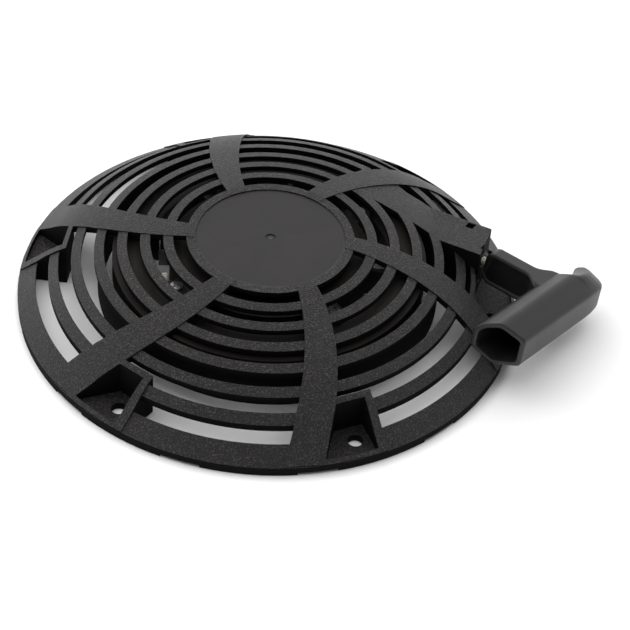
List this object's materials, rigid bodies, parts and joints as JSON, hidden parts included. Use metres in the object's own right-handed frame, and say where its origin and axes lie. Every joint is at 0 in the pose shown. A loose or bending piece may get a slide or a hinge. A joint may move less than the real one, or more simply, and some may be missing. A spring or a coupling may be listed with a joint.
{
  "type": "recoil starter",
  "caption": "Slotted dome-shaped pull-start cover with a spring-loaded rope reel, swinging pawls, a side rope outlet and a T-shaped pull handle.",
  "frame": {"origin": "centre of the circle of mounting bolts, on the rim's underside", "axes": "+Z away from the engine, through the crown; the rope leaves towards +X and -Y, 36 degrees below +X as seen from above"},
  "size_m": [0.2734, 0.234, 0.0398],
  "materials": {
    "housing_plastic": "fine spark-eroded grain on the ribs, rim and spokes, smoother on the centre disc",
    "handle_plastic": "smooth satin grip, grained panels in the stem",
    "reel_plastic": "plain moulded",
    "eyelet_steel": "pressed and polished",
    "bush_bronze": "sintered, oiled",
    "spring_steel": "rolled strip and drawn wire, lightly oiled",
    "zinc_steel": "bright zinc plate",
    "pawl_steel": "tumbled steel",
    "rope": "braided nylon, off-white"
  },
  "bodies": {
    "cover": {"cover_housing": "housing_plastic", "rope_eyelet": "eyelet_steel", "reel_bush": "bush_bronze", "thrust_washer": "zinc_steel", "centre_screw": "zinc_steel", "friction_spring": "spring_steel", "rope_strand": "rope"},
    "reel_body": {"reel": "reel_plastic", "rewind_spring": "spring_steel", "spring_cover": "reel_plastic", "spring_cover_screws": "zinc_steel", "rope_coil": "rope", "reel_knot": "rope", "pawl_pins": "zinc_steel", "pawl_spring_a": "spring_steel", "pawl_spring_b": "spring_steel"},
    "pawl_body_a": {"pawl_a": "pawl_steel"},
    "pawl_body_b": {"pawl_b": "pawl_steel"},
    "cam_body": {"cam_plate": "zinc_steel"},
    "handle": {"handle_grip": "handle_plastic", "handle_washer": "zinc_steel", "handle_knot": "rope"}
  },
  "joints": [
    {"name": "reel_spin", "type": "hinge", "parent": "cover", "child": "reel_body", "pos_m": [0, 0, 0.0195], "axis": [0, 0, -1], "range_deg": [0, 1090], "stiffness_Nm_per_rad": 0.037, "springref_deg": -464.1},
    {"name": "handle_pull", "type": "slide", "parent": "cover", "child": "handle", "axis": [0.809, -0.5878, 0], "range_m": [0, 1.2]},
    {"name": "cam_turn", "type": "hinge", "parent": "reel_body", "child": "cam_body", "pos_m": [0, 0, 0.0048], "axis": [0, 0, 1], "range_deg": [0, 30]},
    {"name": "pawl_a_swing", "type": "hinge", "parent": "reel_body", "child": "pawl_body_a", "pos_m": [0.02, 0, 0.0079], "axis": [0, 0, 1], "range_deg": [0, 28.1]},
    {"name": "pawl_b_swing", "type": "hinge", "parent": "reel_body", "child": "pawl_body_b", "pos_m": [-0.02, 0, 0.0079], "axis": [0, 0, 1], "range_deg": [0, 28.1]}
  ],
  "couplings": [
    {"joint": "handle_pull", "follows": "reel_spin", "m_per_rad": 0.063},
    {"joint": "pawl_a_swing", "follows": "cam_turn", "ratio": 0.93333},
    {"joint": "pawl_b_swing", "follows": "cam_turn", "ratio": 0.93333}
  ]
}
